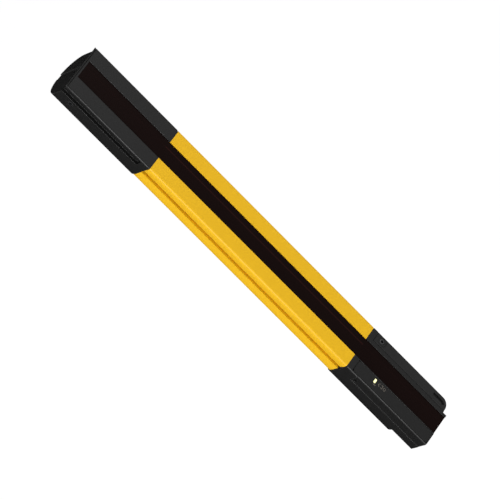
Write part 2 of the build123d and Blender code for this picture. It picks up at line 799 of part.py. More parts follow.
with BuildPart() as lens_strip:
    strip_front = channel_floor - lens_strip_thickness
    strip_half = channel_half - lens_strip_play
    with BuildSketch(front_plane(strip_front)):
        band(-strip_half, strip_half, carrier_low + lens_strip_end_gap, carrier_high - lens_strip_end_gap)
    extrude(amount=-lens_strip_thickness)
    with Locations(*[(0, behind(strip_front), height) for height in beam_heights]):
        add(lens_dome.part)

with BuildPart() as emitter_board:
    with BuildSketch(front_plane(carrier_back)):
        band(-emitter_board_half, emitter_board_half, carrier_low + emitter_board_end_gap,
             carrier_high - emitter_board_end_gap)
    extrude(amount=-emitter_board_thickness)

with BuildPart() as emitter_diodes:
    with BuildSketch(front_plane(carrier_back)):
        with Locations(*[(0, height) for height in beam_heights]):
            Rectangle(diode_size, diode_size)
    extrude(amount=diode_base_height)
    with BuildSketch(front_plane(carrier_back - diode_base_height)):
        with Locations(*[(0, height) for height in beam_heights]):
            RegularPolygon(diode_dome_radius, diode_dome_sides)
    extrude(amount=diode_dome_height)

# Controller board, chips, header and socket in the bottom cap

with BuildPart() as board_link:
    with BuildSketch(front_plane(emitter_board_back)):
        band(-board_link_half, board_link_half, board_link_low, board_link_high)
    extrude(amount=-board_link_height)

with BuildPart() as controller_board:
    with BuildSketch(front_plane(controller_front)):
        band(-controller_half, controller_half, cavity_floor, controller_high)
    extrude(amount=-controller_thickness)

with BuildPart() as controller_chips:
    with BuildSketch(front_plane(controller_back)):
        with Locations((0, cavity_floor + low_chip_place)):
            Rectangle(low_chip_width, low_chip_tall)
        with Locations((0, cavity_floor + main_chip_place)):
            Rectangle(main_chip_width, main_chip_tall)
        with Locations((0, cavity_floor + small_chip_place)):
            Rectangle(small_chip_width, small_chip_tall)
    extrude(amount=-chip_height)

with BuildPart() as socket_block:
    with BuildSketch(Plane.XY.offset(plug_seat_height)):
        band(-socket_half, socket_half, behind(socket_front_depth), behind(controller_front))
    extrude(amount=socket_high - plug_seat_height)
    with BuildSketch(Plane.XY.offset(plug_seat_height)):
        band(-socket_mouth_half, socket_mouth_half, behind(socket_mouth_front), behind(socket_mouth_back))
        band(-socket_key_width / 2, socket_key_width / 2, behind(socket_mouth_front - socket_key_cut),
             behind(socket_mouth_front))
    extrude(amount=socket_mouth_height, mode=Mode.SUBTRACT)

with BuildPart() as socket_contacts:
    mouth_middle = (socket_mouth_front + socket_mouth_back) / 2
    with BuildSketch(Plane.XY.offset(plug_seat_height + socket_mouth_height)):
        with Locations((0, behind(mouth_middle))):
            with GridLocations(contact_pitch, contact_row_pitch, contact_columns, 2):
                Rectangle(contact_size, contact_size)
    extrude(amount=-contact_length)

# Files, one for each piece

os.makedirs("parts", exist_ok=True)

housing_extrusion.part.label = "housing_extrusion"
export_step(housing_extrusion.part, "parts/housing_extrusion.step")
housing_window.part.label = "housing_window"
export_step(housing_window.part, "parts/housing_window.step")
housing_window_seals.part.label = "housing_window_seals"
export_step(housing_window_seals.part, "parts/housing_window_seals.step")
top_cap.part.label = "top_cap"
export_step(top_cap.part, "parts/top_cap.step")
top_cap_window.part.label = "top_cap_window"
export_step(top_cap_window.part, "parts/top_cap_window.step")
top_window_seals.part.label = "top_window_seals"
export_step(top_window_seals.part, "parts/top_window_seals.step")
top_cap_gasket.part.label = "top_cap_gasket"
export_step(top_cap_gasket.part, "parts/top_cap_gasket.step")
top_cap_screws.part.label = "top_cap_screws"
export_step(top_cap_screws.part, "parts/top_cap_screws.step")
top_cap_side_screws.part.label = "top_cap_side_screws"
export_step(top_cap_side_screws.part, "parts/top_cap_side_screws.step")
bottom_cap.part.label = "bottom_cap"
export_step(bottom_cap.part, "parts/bottom_cap.step")
bottom_cap_window.part.label = "bottom_cap_window"
export_step(bottom_cap_window.part, "parts/bottom_cap_window.step")
bottom_window_seals.part.label = "bottom_window_seals"
export_step(bottom_window_seals.part, "parts/bottom_window_seals.step")
bottom_cap_gasket.part.label = "bottom_cap_gasket"
export_step(bottom_cap_gasket.part, "parts/bottom_cap_gasket.step")
bottom_cap_screws.part.label = "bottom_cap_screws"
export_step(bottom_cap_screws.part, "parts/bottom_cap_screws.step")
status_panel.part.label = "status_panel"
export_step(status_panel.part, "parts/status_panel.step")
status_light_pipe.part.label = "status_light_pipe"
export_step(status_light_pipe.part, "parts/status_light_pipe.step")
status_lamp.part.label = "status_lamp"
export_step(status_lamp.part, "parts/status_lamp.step")
status_board.part.label = "status_board"
export_step(status_board.part, "parts/status_board.step")
access_cover.part.label = "access_cover"
export_step(access_cover.part, "parts/access_cover.step")
access_cover_seal.part.label = "access_cover_seal"
export_step(access_cover_seal.part, "parts/access_cover_seal.step")
access_cover_screw.part.label = "access_cover_screw"
export_step(access_cover_screw.part, "parts/access_cover_screw.step")
setup_board.part.label = "setup_board"
export_step(setup_board.part, "parts/setup_board.step")
setup_header.part.label = "setup_header"
export_step(setup_header.part, "parts/setup_header.step")
optics_carrier.part.label = "optics_carrier"
export_step(optics_carrier.part, "parts/optics_carrier.step")
lens_strip.part.label = "lens_strip"
export_step(lens_strip.part, "parts/lens_strip.step")
emitter_board.part.label = "emitter_board"
export_step(emitter_board.part, "parts/emitter_board.step")
emitter_diodes.part.label = "emitter_diodes"
export_step(emitter_diodes.part, "parts/emitter_diodes.step")
board_link.part.label = "board_link"
export_step(board_link.part, "parts/board_link.step")
controller_board.part.label = "controller_board"
export_step(controller_board.part, "parts/controller_board.step")
controller_chips.part.label = "controller_chips"
export_step(controller_chips.part, "parts/controller_chips.step")
socket_block.part.label = "socket_block"
export_step(socket_block.part, "parts/socket_block.step")
socket_contacts.part.label = "socket_contacts"
export_step(socket_contacts.part, "parts/socket_contacts.step")
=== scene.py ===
import logging
import math
from dataclasses import dataclass, field
from enum import Enum

import bpy
from mathutils import Matrix, Vector


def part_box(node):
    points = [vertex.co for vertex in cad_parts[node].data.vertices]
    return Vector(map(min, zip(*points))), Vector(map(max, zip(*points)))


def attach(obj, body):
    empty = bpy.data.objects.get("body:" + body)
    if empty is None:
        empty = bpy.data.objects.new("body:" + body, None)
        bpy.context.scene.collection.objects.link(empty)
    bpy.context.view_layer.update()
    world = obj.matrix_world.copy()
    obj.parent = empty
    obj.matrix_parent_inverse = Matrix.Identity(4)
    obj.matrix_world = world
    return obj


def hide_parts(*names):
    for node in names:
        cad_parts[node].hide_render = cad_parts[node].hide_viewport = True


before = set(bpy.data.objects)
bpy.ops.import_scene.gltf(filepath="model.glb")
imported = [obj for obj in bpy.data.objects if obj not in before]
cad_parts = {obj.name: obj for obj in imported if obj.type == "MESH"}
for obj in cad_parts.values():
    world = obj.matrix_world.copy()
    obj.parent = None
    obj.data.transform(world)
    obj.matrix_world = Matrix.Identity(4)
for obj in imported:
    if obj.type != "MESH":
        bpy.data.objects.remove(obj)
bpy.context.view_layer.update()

MM = 0.001
BODY = "root"
EDGE_SAMPLES = 8

log = logging.getLogger("light_curtain")

Color = tuple[float, float, float]
Place = tuple[float, float, float]
Outline = list[tuple[float, float]]


class Shade:
    """A socket of a shader tree that takes part in Python arithmetic."""

    def __init__(self, maker: "NodeMaker", socket: bpy.types.NodeSocket) -> None:
        """Wraps one output socket of the maker's tree."""
        self.maker = maker
        self.socket = socket

    def _math(self, operation: str, first: "Shade | float", second: "Shade | float" = 0.0) -> "Shade":
        """Adds a Math node that works on two values or links."""
        made = self.maker.node("ShaderNodeMath", {"operation": operation}, {0: first, 1: second})
        return Shade(self.maker, made.outputs[0])

    def __add__(self, other: "Shade | float") -> "Shade":
        """Sum of both."""
        return self._math("ADD", self, other)

    __radd__ = __add__

    def __sub__(self, other: "Shade | float") -> "Shade":
        """This less the other."""
        return self._math("SUBTRACT", self, other)

    def __rsub__(self, other: "Shade | float") -> "Shade":
        """The other less this."""
        return self._math("SUBTRACT", other, self)

    def __mul__(self, other: "Shade | float") -> "Shade":
        """Product of both."""
        return self._math("MULTIPLY", self, other)

    __rmul__ = __mul__

    def __gt__(self, other: "Shade | float") -> "Shade":
        """One where this is greater than the other, and zero elsewhere."""
        return self._math("GREATER_THAN", self, other)

    def __lt__(self, other: "Shade | float") -> "Shade":
        """One where this is less than the other, and zero elsewhere."""
        return self._math("LESS_THAN", self, other)

    def size(self) -> "Shade":
        """The value without its sign."""
        return self._math("ABSOLUTE", self)

    def largest(self, other: "Shade | float") -> "Shade":
        """The greater of both."""
        return self._math("MAXIMUM", self, other)


class NodeMaker:
    """Makes the nodes of one material or world."""

    def __init__(self, tree: bpy.types.NodeTree) -> None:
        """Takes the tree of a material or a world and empties it."""
        self.tree = tree
        tree.nodes.clear()

    def node(self, kind: str, settings: dict | None = None, sockets: dict | None = None) -> bpy.types.Node:
        """Adds a node, with its settings first and then its sockets.

        Args:
            kind: The node's type.
            settings: Its own settings by their names.
            sockets: Values or links by the socket's name or place.

        Returns:
            The new node.
        """
        made = self.tree.nodes.new(kind)
        for name, value in (settings or {}).items():
            setattr(made, name, value)
        for name, value in (sockets or {}).items():
            if isinstance(value, Shade):
                self.tree.links.new(value.socket, made.inputs[name])
            else:
                made.inputs[name].default_value = value
        return made

    def out(self, node: bpy.types.Node, name: str | int) -> Shade:
        """A node's output, by its name or place, ready for arithmetic."""
        return Shade(self, node.outputs[name])

    def place(self) -> Shade:
        """Place of the shaded point in the object's own coordinates, in metres."""
        return self.out(self.node("ShaderNodeTexCoord"), "Object")

    def noise(self, grain: float, detail: float = 2.0, rough: float = 0.5) -> Shade:
        """Noise whose features are about one grain across.

        Args:
            grain: Size of the features in metres.
            detail: How many finer layers are added.
            rough: Weight of the finer layers.

        Returns:
            The noise's value, from 0 to 1.
        """
        made = self.node("ShaderNodeTexNoise", {}, {
            "Vector": self.place(),
            "Scale": 1.0 / grain,
            "Detail": detail,
            "Roughness": rough,
        })
        return self.out(made, 0)

    def mixed(self, factor: Shade, first: Color, second: Color) -> Shade:
        """Colour between two colours.

        Args:
            factor: 0 for the first colour and 1 for the second.
            first: The first colour.
            second: The second colour.

        Returns:
            The mixed colour.
        """
        made = self.node("ShaderNodeMix", {"data_type": "RGBA"},
                         {0: factor, 6: (*first, 1.0), 7: (*second, 1.0)})
        return self.out(made, 2)

    def bumped(self, height: Shade, depth: float, edge: float) -> Shade:
        """Normal that a height gives.

        Args:
            height: The height, from 0 to 1.
            depth: The height of 1, in metres.
            edge: Radius by which sharp edges catch the light, in metres, or 0 to leave them sharp.

        Returns:
            The normal.
        """
        sockets = {"Distance": depth, "Height": height}
        if edge:
            rounded = self.node("ShaderNodeBevel", {"samples": EDGE_SAMPLES}, {"Radius": edge})
            sockets["Normal"] = self.out(rounded, 0)
        return self.out(self.node("ShaderNodeBump", {}, sockets), 0)


def new_material(name: str) -> tuple[bpy.types.Material, NodeMaker]:
    """Makes an empty material.

    Args:
        name: The material's name.

    Returns:
        The material and its node maker.
    """
    made = bpy.data.materials.new(name)
    made.use_nodes = True
    return made, NodeMaker(made.node_tree)


@dataclass(frozen=True)
class Finish:
    """A surface that has a colour which varies a little, a grain and a gloss."""

    name: str
    color: Color
    second: Color
    roughness: float = 0.5
    spread: float = 0.05
    grain: float = 0.4 * MM
    relief: float = 0.01 * MM
    mottle: float = 8 * MM
    specular: float = 0.5
    metallic: float = 0.0
    edge: float = 0.0

    def material(self) -> bpy.types.Material:
        """Makes the material.

        Returns:
            A material with this finish's nodes.
        """
        made, maker = new_material(self.name)
        self.wire(maker)
        return made

    def wire(self, maker: NodeMaker) -> bpy.types.Node:
        """Makes the surface shader and joins it to the output.

        Args:
            maker: The node maker of the material.

        Returns:
            The surface shader.
        """
        mottle = maker.noise(self.mottle, detail=3.0)
        grain = maker.noise(self.grain, rough=0.6)
        surface = maker.node("ShaderNodeBsdfPrincipled", {}, {
            "Base Color": self.tone(maker, mottle),
            "Roughness": mottle * self.spread + (self.roughness - self.spread / 2),
            "Normal": maker.bumped(self.height(maker, grain), self.relief, self.edge),
            "Metallic": self.metallic,
            "Specular IOR Level": self.specular,
        })
        output = maker.node("ShaderNodeOutputMaterial")
        maker.tree.links.new(surface.outputs[0], output.inputs["Surface"])
        return surface

    def tone(self, maker: NodeMaker, mottle: Shade) -> Shade:
        """Colour of the surface, which drifts slowly between the finish's two colours."""
        return maker.mixed(mottle, self.color, self.second)

    def height(self, maker: NodeMaker, grain: Shade) -> Shade:
        """Height of the surface, from 0 to 1, which is the fine grain itself."""
        return grain


@dataclass(frozen=True)
class PowderCoat(Finish):
    """Sprayed and baked paint: an even colour with a fine orange peel."""

    peel: float = 1.4 * MM
    peel_share: float = 0.75

    def height(self, maker: NodeMaker, grain: Shade) -> Shade:
        """Fine grain on the wider waves of the orange peel."""
        return maker.noise(self.peel, detail=1.0) * self.peel_share + grain * (1.0 - self.peel_share)


@dataclass(frozen=True)
class GrainedPlastic(Finish):
    """Moulded plastic with the fine pits of an eroded mould."""

    pit_softness: float = 0.6
    pit_share: float = 0.7

    def height(self, maker: NodeMaker, grain: Shade) -> Shade:
        """Small rounded pits under a finer noise.

        Args:
            maker: The node maker of the material.
            grain: The finer noise, from 0 to 1.

        Returns:
            The height, from 0 to 1.
        """
        pits = maker.node("ShaderNodeTexVoronoi", {"feature": "SMOOTH_F1"}, {
            "Vector": maker.place(),
            "Scale": 1.0 / self.grain,
            "Smoothness": self.pit_softness,
        })
        return maker.out(pits, 0) * self.pit_share + grain * (1.0 - self.pit_share)


@dataclass(frozen=True)
class SmokedWindow(Finish):
    """Dark red plastic with a painted highlight: a thin redder line that stands in for the lit edge of the
    lens strip behind it.
    """

    # The redder line colour and its place are a painted highlight of the lens strip's edge, not seen
    # through the window.
    painted_highlight_color: Color = (0.030, 0.0085, 0.0075)
    painted_highlight_x: float = 2.1 * MM
    painted_highlight_half: float = 0.35 * MM
    housing_low: float = 60.2 * MM
    housing_high: float = 208.8 * MM
    share_in_caps: float = 0.1

    def tone(self, maker: NodeMaker, mottle: Shade) -> Shade:
        """The plastic's own colour with the thin redder line of painted highlight along it.

        Args:
            maker: The node maker of the material.
            mottle: The slow drift between the plastic's two colours, from 0 to 1.

        Returns:
            The colour.
        """
        split = maker.node("ShaderNodeSeparateXYZ", {}, {0: maker.place()})
        near = 1.0 - (maker.out(split, 0) - self.painted_highlight_x).size() * (1.0 / self.painted_highlight_half)
        plain = maker.mixed(mottle, self.color, self.second)
        mixed = maker.node("ShaderNodeMix", {"data_type": "RGBA"},
                           {0: near.largest(0.0) * self.painted_highlight_share(maker, split), 6: plain,
                            7: (*self.painted_highlight_color, 1.0)})
        return maker.out(mixed, 2)

    def painted_highlight_share(self, maker: NodeMaker, split: bpy.types.Node) -> Shade:
        """Share of the painted highlight line at a height: all of it between the caps and little beyond.

        Args:
            maker: The node maker of the material.
            split: The node that splits the shaded point's place.

        Returns:
            The share, from 0 to 1.
        """
        height = maker.out(split, 2)
        between_caps = (height > self.housing_low) * (height < self.housing_high)
        return between_caps * (1.0 - self.share_in_caps) + self.share_in_caps


@dataclass(frozen=True)
class BrushedMetal(Finish):
    """Metal with fine lines along one direction."""

    stretch: Place = (1.0, 1.0, 0.05)

    def height(self, maker: NodeMaker, grain: Shade) -> Shade:
        """Noise drawn out into lines, which take the place of the plain grain.

        Args:
            maker: The node maker of the material.
            grain: The plain grain, which isn't used here.

        Returns:
            The height, from 0 to 1.
        """
        mapped = maker.node("ShaderNodeMapping", {}, {"Vector": maker.place(), "Scale": self.stretch})
        lines = maker.node("ShaderNodeTexNoise", {},
                           {"Vector": maker.out(mapped, 0), "Scale": 1.0 / self.grain, "Detail": 2.0})
        return maker.out(lines, 0)


@dataclass(frozen=True)
class BoardLaminate(Finish):
    """Circuit board: copper tracks under a coloured solder mask."""

    track: Color = (0.05, 0.22, 0.08)
    track_pitch: float = 1.3 * MM
    track_share: float = 0.12
    track_disorder: float = 0.85

    def tone(self, maker: NodeMaker, mottle: Shade) -> Shade:
        """Tracks that run between square cells, a little lighter than the mask.

        Args:
            maker: The node maker of the material.
            mottle: The slow drift of other finishes, which isn't used here.

        Returns:
            The colour.
        """
        settings = {"feature": "DISTANCE_TO_EDGE", "distance": "CHEBYCHEV"}
        cells = maker.node("ShaderNodeTexVoronoi", settings, {
            "Vector": maker.place(),
            "Scale": 1.0 / self.track_pitch,
            "Randomness": self.track_disorder,
        })
        return maker.mixed(maker.out(cells, 0) < self.track_share, self.color, self.track)


@dataclass(frozen=True)
class LitLens(Finish):
    """Clear lens with a lamp shining behind it."""

    glow: Color = (1.0, 0.98, 0.55)
    power: float = 0.9
    patch: float = 0.8 * MM

    def wire(self, maker: NodeMaker) -> bpy.types.Node:
        """Adds the lamp's light to the surface shader, a little uneven over the lens.

        Args:
            maker: The node maker of the material.

        Returns:
            The surface shader.
        """
        surface = Finish.wire(self, maker)
        uneven = maker.noise(self.patch, detail=1.0)
        self_lit = maker.mixed(uneven, self.glow, self.color)
        maker.tree.links.new(self_lit.socket, surface.inputs["Emission Color"])
        surface.inputs["Emission Strength"].default_value = self.power
        return surface


HOUSING_PAINT = PowderCoat("housing_paint", (0.88, 0.505, 0.011), (0.85, 0.485, 0.009), roughness=0.42,
                           grain=0.25 * MM, relief=0.02 * MM, mottle=30 * MM, specular=0.12)
CAP_PLASTIC = GrainedPlastic("cap_plastic", (0.0100, 0.0100, 0.0100), (0.0115, 0.0113, 0.0111),
                             roughness=0.34, grain=0.22 * MM, relief=0.004 * MM, mottle=14 * MM,
                             specular=0.12, edge=0.35 * MM)
COVER_PLASTIC = GrainedPlastic("cover_plastic", (0.0225, 0.0225, 0.0225), (0.0265, 0.0262, 0.0259),
                               roughness=0.62, grain=0.3 * MM, relief=0.012 * MM, mottle=5 * MM,
                               specular=0.04)
PANEL_FOIL = Finish("panel_foil", (0.0095, 0.0095, 0.0095), (0.0105, 0.0105, 0.0102), roughness=0.34,
                    grain=0.12 * MM, relief=0.002 * MM, mottle=10 * MM, specular=0.12)
WINDOW_SMOKE = SmokedWindow("window_smoke", (0.0072, 0.0034, 0.0030), (0.0084, 0.0038, 0.0034),
                            roughness=0.22, spread=0.03, grain=6 * MM, relief=0.002 * MM,
                            mottle=40 * MM, specular=0.015)
SEAL_RUBBER = Finish("seal_rubber", (0.008, 0.008, 0.008), (0.012, 0.012, 0.012), roughness=0.8,
                     grain=0.1 * MM, relief=0.004 * MM, mottle=3 * MM, specular=0.2)
BLACK_STEEL = BrushedMetal("blackened_steel", (0.026, 0.026, 0.027), (0.042, 0.042, 0.043), roughness=0.33,
                           grain=0.15 * MM, relief=0.003 * MM, mottle=2 * MM, specular=0.5, metallic=0.6)
ZINC_STEEL = BrushedMetal("zinc_plated_steel", (0.55, 0.55, 0.56), (0.47, 0.47, 0.46), roughness=0.32,
                          grain=0.2 * MM, relief=0.003 * MM, mottle=2 * MM, metallic=1.0)
CARRIER_PLASTIC = GrainedPlastic("carrier_plastic", (0.011, 0.008, 0.007), (0.013, 0.010, 0.008),
                                 roughness=0.6, grain=0.3 * MM, relief=0.01 * MM, specular=0.2)
LENS_PLASTIC = Finish("lens_plastic", (0.14, 0.012, 0.010), (0.11, 0.010, 0.008), roughness=0.2,
                      grain=1.5 * MM, relief=0.003 * MM, mottle=12 * MM, specular=0.3)
BOARD = BoardLaminate("board_laminate", (0.012, 0.10, 0.035), (0.012, 0.10, 0.035), roughness=0.35,
                      grain=0.3 * MM, relief=0.01 * MM)
CHIP_BODY = GrainedPlastic("chip_body", (0.02, 0.02, 0.02), (0.03, 0.03, 0.03), roughness=0.6,
                           grain=0.1 * MM, relief=0.005 * MM)
DIODE_BODY = Finish("diode_body", (0.10, 0.08, 0.16), (0.07, 0.06, 0.13), roughness=0.15,
                    grain=0.5 * MM, relief=0.002 * MM, mottle=1 * MM)
CONNECTOR_PLASTIC = GrainedPlastic("connector_plastic", (0.03, 0.03, 0.03), (0.045, 0.045, 0.045),
                                   roughness=0.5, grain=0.12 * MM, relief=0.005 * MM)
CONTACT_GOLD = BrushedMetal("contact_gold", (0.83, 0.58, 0.20), (0.72, 0.50, 0.18), roughness=0.25,
                            grain=0.1 * MM, relief=0.002 * MM, mottle=0.6 * MM, metallic=1.0)
LAMP_LENS = LitLens("lamp_lens", (0.88, 0.88, 0.40), (0.86, 0.86, 0.45), roughness=0.2,
                    grain=0.4 * MM, relief=0.004 * MM, mottle=1 * MM)
LEGEND_INK = Finish("legend_ink", (0.170, 0.150, 0.125), (0.120, 0.105, 0.090), roughness=0.6,
                    grain=0.1 * MM, relief=0.002 * MM, mottle=0.6 * MM, specular=0.2)

NODE_FINISHES: dict[Finish, tuple[str, ...]] = {
    HOUSING_PAINT: ("housing_extrusion",),
    CAP_PLASTIC: ("top_cap", "bottom_cap"),
    COVER_PLASTIC: ("access_cover",),
    PANEL_FOIL: ("status_panel",),
    WINDOW_SMOKE: ("housing_window", "top_cap_window", "bottom_cap_window"),
    SEAL_RUBBER: ("housing_window_seals", "top_window_seals", "bottom_window_seals", "top_cap_gasket",
                  "bottom_cap_gasket", "access_cover_seal"),
    BLACK_STEEL: ("top_cap_side_screws", "access_cover_screw"),
    ZINC_STEEL: ("top_cap_screws", "bottom_cap_screws"),
    CARRIER_PLASTIC: ("optics_carrier",),
    LENS_PLASTIC: ("lens_strip",),
    BOARD: ("emitter_board", "controller_board", "status_board", "setup_board"),
    CHIP_BODY: ("controller_chips",),
    DIODE_BODY: ("emitter_diodes",),
    CONNECTOR_PLASTIC: ("board_link", "setup_header", "socket_block"),
    CONTACT_GOLD: ("socket_contacts",),
    LAMP_LENS: ("status_light_pipe", "status_lamp"),
}


class Side(Enum):
    """The way a piece faces."""

    FRONT = (0.0, -1.0, 0.0)
    LEFT = (-1.0, 0.0, 0.0)
    RIGHT = (1.0, 0.0, 0.0)

    @property
    def normal(self) -> Vector:
        """Unit vector out of the surface."""
        return Vector(self.value)

    @property
    def turn(self) -> Place:
        """Rotation that brings a piece modelled along +Z to face this way."""
        return tuple(self.normal.to_track_quat("Z", "Y").to_euler())


def deselect() -> None:
    """Leaves no object selected."""
    bpy.ops.object.select_all(action="DESELECT")


def activate(piece: bpy.types.Object) -> None:
    """Selects one object and nothing else.

    Args:
        piece: The object, which also becomes the active one.
    """
    deselect()
    piece.select_set(True)
    bpy.context.view_layer.objects.active = piece


def settle(piece: bpy.types.Object, name: str, finish: Finish) -> bpy.types.Object:
    """Finishes a piece: its place goes into its mesh, and it gets its name, finish and slot.

    Args:
        piece: The modelled object.
        name: The piece's name.
        finish: Its finish.

    Returns:
        The same object.
    """
    activate(piece)
    bpy.ops.object.transform_apply(location=True, rotation=True, scale=True)
    piece.name = name
    piece.data.name = name
    piece.data.materials.clear()
    piece.data.materials.append(finish.material())
    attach(piece, BODY)
    log.info("piece %s: %d faces", name, len(piece.data.polygons))
    return piece


def apply_modifiers(piece: bpy.types.Object) -> None:
    """Applies every modifier of a piece in turn.

    Args:
        piece: The piece, which is left selected and active.
    """
    activate(piece)
    for modifier in list(piece.modifiers):
        bpy.ops.object.modifier_apply(modifier=modifier.name)


@dataclass
class DriveScrew:
    """Small machine screw with a rounded head and a recessed drive."""

    head_radius: float
    head_height: float
    shank_radius: float
    shank_length: float
    rim_round: float = 0.18 * MM
    rim_segments: int = 3
    drive_radius: float = 0.85 * MM
    drive_depth: float = 1.4 * MM
    drive_rim_share: float = 0.25
    sides: int = 40
    flat_limit: float = 0.98
    smooth_angle: float = math.radians(35)

    def build(self) -> bpy.types.Object:
        """Models the screw along +Z, with the seat of its head at the origin.

        Returns:
            The screw's object, not yet in its place, named or dressed.
        """
        deselect()
        bpy.ops.mesh.primitive_cylinder_add(vertices=self.sides, radius=self.head_radius,
                                            depth=self.head_height, location=(0, 0, self.head_height / 2))
        head = bpy.context.object
        bpy.ops.object.transform_apply(location=True, rotation=True, scale=True)
        bpy.ops.object.mode_set(mode="EDIT")
        bpy.ops.mesh.select_all(action="DESELECT")
        bpy.ops.object.mode_set(mode="OBJECT")
        for edge in head.data.edges:
            edge.select = all(head.data.vertices[v].co.z > self.head_height / 2 for v in edge.vertices)
        bpy.ops.object.mode_set(mode="EDIT")
        bpy.ops.mesh.select_mode(type="EDGE")
        bpy.ops.mesh.bevel(offset=self.rim_round, segments=self.rim_segments)
        bpy.ops.object.mode_set(mode="OBJECT")
        self._add_shank(head)
        self._sink_drive(head)
        bpy.ops.object.shade_smooth_by_angle(angle=self.smooth_angle)
        return head

    def _pick(self, head: bpy.types.Object, upward: bool) -> None:
        """Selects the flat faces at the head's top or at its underside, and enters edit mode.

        Args:
            head: The head's object, still along +Z.
            upward: True for the top.
        """
        bpy.ops.object.mode_set(mode="EDIT")
        bpy.ops.mesh.select_mode(type="FACE")
        bpy.ops.mesh.select_all(action="DESELECT")
        bpy.ops.object.mode_set(mode="OBJECT")
        way = 1 if upward else -1
        for polygon in head.data.polygons:
            polygon.select = way * polygon.normal.z > self.flat_limit
        bpy.ops.object.mode_set(mode="EDIT")

    def _add_shank(self, head: bpy.types.Object) -> None:
        """Draws the shank out of the underside of the head.

        Args:
            head: The head's object, still along +Z.
        """
        self._pick(head, upward=False)
        bpy.ops.mesh.inset(thickness=self.head_radius - self.shank_radius)
        bpy.ops.mesh.extrude_region_move(TRANSFORM_OT_translate={"value": (0, 0, -self.shank_length)})
        bpy.ops.object.mode_set(mode="OBJECT")

    def _sink_drive(self, head: bpy.types.Object) -> None:
        """Sinks the drive into the top of the head: a recess with a narrower floor.

        Args:
            head: The head's object, still along +Z.
        """
        self._pick(head, upward=True)
        bpy.ops.mesh.inset(thickness=self.head_radius - self.rim_round - self.drive_radius)
        bpy.ops.mesh.extrude_region_move(TRANSFORM_OT_translate={"value": (0, 0, -self.drive_depth)})
        bpy.ops.mesh.inset(thickness=self.drive_rim_share * self.drive_radius)
        bpy.ops.object.mode_set(mode="OBJECT")


def seat_screw(screw: bpy.types.Object, seat: Vector, side: Side) -> None:
    """Turns a screw to face a side and moves it there, with the seat of its head at a point."""
    screw.rotation_euler = side.turn
    screw.location = seat


@dataclass
class TrimmedCap:
    """Top cap whose end lies lower behind the rim, with a valley between two pads and open side slots."""

    node: str = "top_cap"
    rim_back: float = 1.15 * MM
    valley: tuple[float, float] = (-0.6 * MM, 2.9 * MM)
    right_level: float = 268.1 * MM
    left_level: float = 267.9 * MM
    valley_level: float = 267.65 * MM
    reach: float = 5 * MM
    weld: float = 0.002 * MM
    sliver: float = 0.001 * MM
    flat_angle: float = math.radians(0.5)

    def build(self) -> bpy.types.Object:
        """Copies the cap and cuts its end down to its levels, which also opens both slots upwards.

        Returns:
            The finished piece, which stands for the node.
        """
        piece = bpy.data.objects.new("top_cap_trimmed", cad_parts[self.node].data.copy())
        bpy.context.scene.collection.objects.link(piece)
        activate(piece)
        bpy.ops.object.mode_set(mode="EDIT")
        bpy.ops.mesh.select_all(action="SELECT")
        bpy.ops.mesh.remove_doubles(threshold=self.weld)
        bpy.ops.mesh.normals_make_consistent(inside=False)
        bpy.ops.object.mode_set(mode="OBJECT")
        low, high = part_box(self.node)
        left, right = self.valley
        edge, top = 2 * high.x, high.z + self.reach
        behind_rim, past_back = low.y + self.rim_back, high.y + self.reach
        self._cut(piece, (-edge, behind_rim, self.right_level), (edge, past_back, top))
        self._cut(piece, (-edge, behind_rim, self.left_level), (right, past_back, top))
        self._cut(piece, (left, behind_rim, self.valley_level), (right, past_back, top))
        bpy.ops.object.mode_set(mode="EDIT")
        bpy.ops.mesh.select_all(action="SELECT")
        bpy.ops.mesh.dissolve_degenerate(threshold=self.sliver)
        bpy.ops.mesh.dissolve_limited(angle_limit=self.flat_angle)
        bpy.ops.object.mode_set(mode="OBJECT")
        bpy.ops.object.shade_flat()
        settle(piece, piece.name, CAP_PLASTIC)
        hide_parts(self.node)
        return piece

    @staticmethod
    def _cut(piece: bpy.types.Object, low: Place, high: Place) -> None:
        """Takes a box away from the piece.

        Args:
            piece: The piece to cut.
            low: The box's lowest corner.
            high: The box's highest corner.
        """
        deselect()
        size = Vector(high) - Vector(low)
        bpy.ops.mesh.primitive_cube_add(size=1, location=(Vector(high) + Vector(low)) / 2, scale=size)
        cutter = bpy.context.object
        cut = piece.modifiers.new("trim", "BOOLEAN")
        cut.operation = "DIFFERENCE"
        cut.solver = "EXACT"
        cut.object = cutter
        apply_modifiers(piece)
        bpy.data.objects.remove(cutter)


@dataclass
class TopCapDetail:
    """Side screws of the top cap."""

    node: str = "top_cap_side_screws"
    seat_in: float = 0.55 * MM
    head_radius: float = 1.68 * MM
    head_height: float = 0.5 * MM
    shank_radius: float = 1.0 * MM
    shank_length: float = 7.2 * MM

    def build(self) -> None:
        """Builds both screws, which stand for the plain ones of the frame."""
        low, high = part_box(self.node)
        left = DriveScrew(self.head_radius, self.head_height, self.shank_radius, self.shank_length).build()
        right = bpy.data.objects.new("right", left.data.copy())
        bpy.context.scene.collection.objects.link(right)
        for screw, side in ((left, Side.LEFT), (right, Side.RIGHT)):
            seat_x = side.normal.x * (high.x - self.seat_in)
            seat_screw(screw, Vector((seat_x, (low.y + high.y) / 2, (low.z + high.z) / 2)), side)
            settle(screw, f"side_screw_{side.name.lower()}", BLACK_STEEL)
            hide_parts(self.node)


BAR_OUTLINE: Outline = [(-0.15, -0.7), (0.15, -0.7), (0.15, 0.7), (-0.15, 0.7)]
CHEVRON_OUTLINE: Outline = [(-0.8, -0.5), (0.0, 0.3), (0.8, -0.5), (0.8, -0.2), (0.0, 0.6), (-0.8, -0.2)]
BRACKET_OUTLINE: Outline = [(-0.8, -0.5), (0.8, -0.5), (0.8, 0.5), (0.58, 0.5), (0.58, -0.28),
                            (-0.58, -0.28), (-0.58, 0.5), (-0.8, 0.5)]


